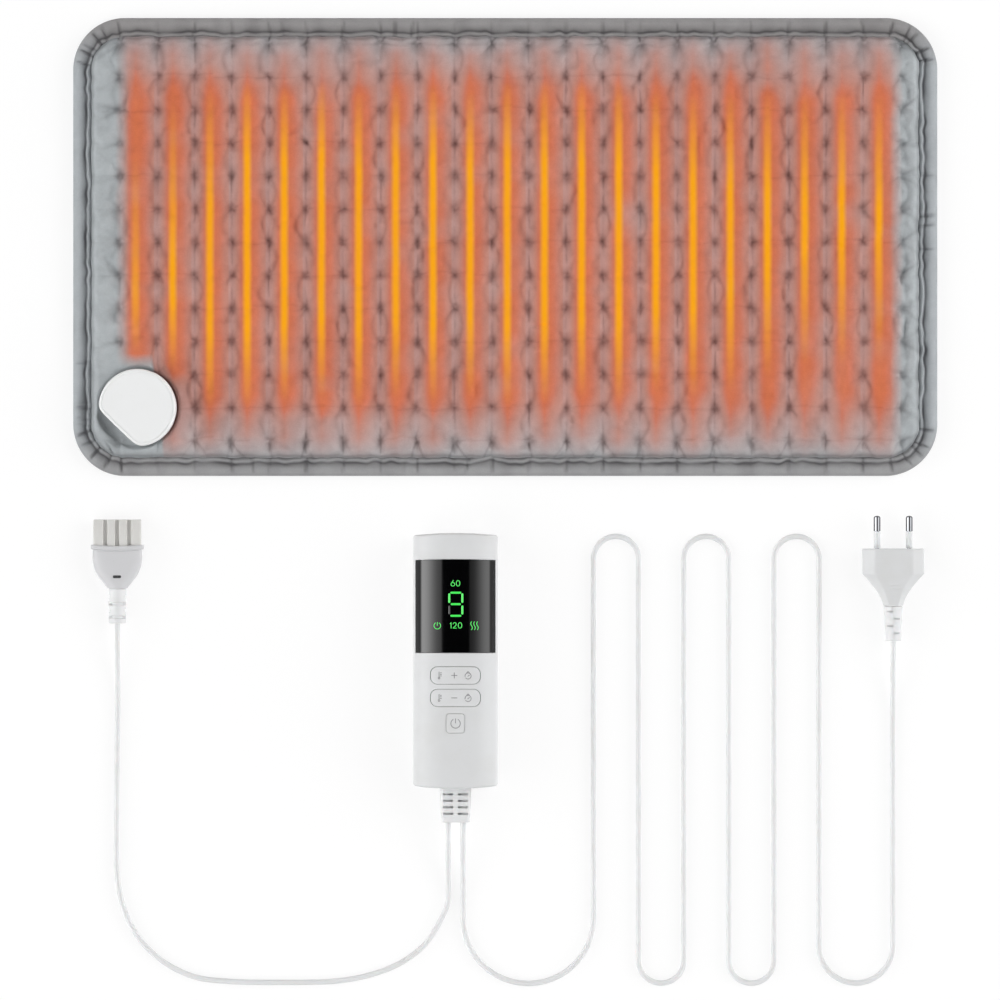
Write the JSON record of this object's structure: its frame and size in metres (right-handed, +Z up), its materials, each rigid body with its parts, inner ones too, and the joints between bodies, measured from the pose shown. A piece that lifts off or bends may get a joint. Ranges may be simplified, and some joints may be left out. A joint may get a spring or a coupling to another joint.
{
  "type": "electric heating pad",
  "caption": "Quilted electric heating pad with a corner socket, a cord-mounted hand controller with display and keys, a pad connector and a flat two-pin mains plug.",
  "frame": {"origin": "centre of the pad's underside, on the surface that everything lies on", "axes": "+X to the right along the pad's long side, +Y away from the controller across the pad, +Z up out of the surface"},
  "size_m": [0.5, 0.5598, 0.028],
  "materials": {
    "plush": "brushed plush",
    "tape": "woven tape",
    "under_cloth": "plain cloth",
    "felt": "felt",
    "wire_skin": "smooth silicone",
    "white_plastic": "satin white",
    "key_plastic": "satin white",
    "ivory_plastic": "ivory",
    "soft_plastic": "soft white",
    "black_gloss": "black gloss",
    "dark_plastic": "black",
    "board": "green solder mask",
    "relay_blue": "blue",
    "capacitor_yellow": "yellow",
    "fuse_glass": "clear",
    "steel": "zinc plated",
    "nickel": "nickel plated",
    "brass": "bare"
  },
  "bodies": {
    "pad_and_controller": {"edge_tape": "tape", "bottom_cover": "under_cloth", "wire_carrier": "felt", "quilted_top": "plush", "heating_wire": "wire_skin", "cutout_left": "dark_plastic", "cutout_right": "dark_plastic", "socket_body": "white_plastic", "socket_lid": "white_plastic", "terminal_block": "ivory_plastic", "socket_clamp_bar": "steel", "socket_screw_1": "steel", "socket_screw_2": "steel", "connector_body": "white_plastic", "connector_nose": "ivory_plastic", "connector_tail": "soft_plastic", "case_front": "white_plastic", "case_back": "white_plastic", "display_lens": "black_gloss", "display_module": "dark_plastic", "circuit_board": "board", "heat_up_switch": "dark_plastic", "time_up_switch": "dark_plastic", "heat_down_switch": "dark_plastic", "time_down_switch": "dark_plastic", "power_switch": "dark_plastic", "relay": "relay_blue", "capacitor": "capacitor_yellow", "board_fuse": "fuse_glass", "cord_gland": "soft_plastic", "plug_body": "white_plastic", "plug_tail": "soft_plastic", "pad_cord": "soft_plastic", "mains_cord": "soft_plastic", "socket_pin_1": "nickel", "connector_contact_1": "brass", "case_screw_1": "steel", "socket_pin_2": "nickel", "connector_contact_2": "brass", "case_screw_2": "steel", "socket_pin_3": "nickel", "connector_contact_3": "brass", "case_screw_3": "steel", "socket_pin_4": "nickel", "connector_contact_4": "brass", "case_screw_4": "steel", "plug_pin_left": "nickel", "plug_sleeve_left": "soft_plastic", "plug_pin_right": "nickel", "plug_sleeve_right": "soft_plastic"},
    "plus_rocker": {"plus_key": "key_plastic"},
    "minus_rocker": {"minus_key": "key_plastic"},
    "power_button": {"power_key": "key_plastic"}
  },
  "joints": [
    {"name": "plus_key_tilt", "type": "hinge", "parent": "pad_and_controller", "child": "plus_rocker", "pos_m": [-0.0287, -0.2473, 0.0218], "axis": [0, 1, 0], "range_deg": [-3, 3], "stiffness_Nm_per_rad": 0.18},
    {"name": "minus_key_tilt", "type": "hinge", "parent": "pad_and_controller", "child": "minus_rocker", "pos_m": [-0.0287, -0.2602, 0.0218], "axis": [0, 1, 0], "range_deg": [-3, 3], "stiffness_Nm_per_rad": 0.18},
    {"name": "power_key_press", "type": "slide", "parent": "pad_and_controller", "child": "power_button", "axis": [0, 0, -1], "range_m": [0, 0.0005], "stiffness_N_per_m": 1500}
  ]
}
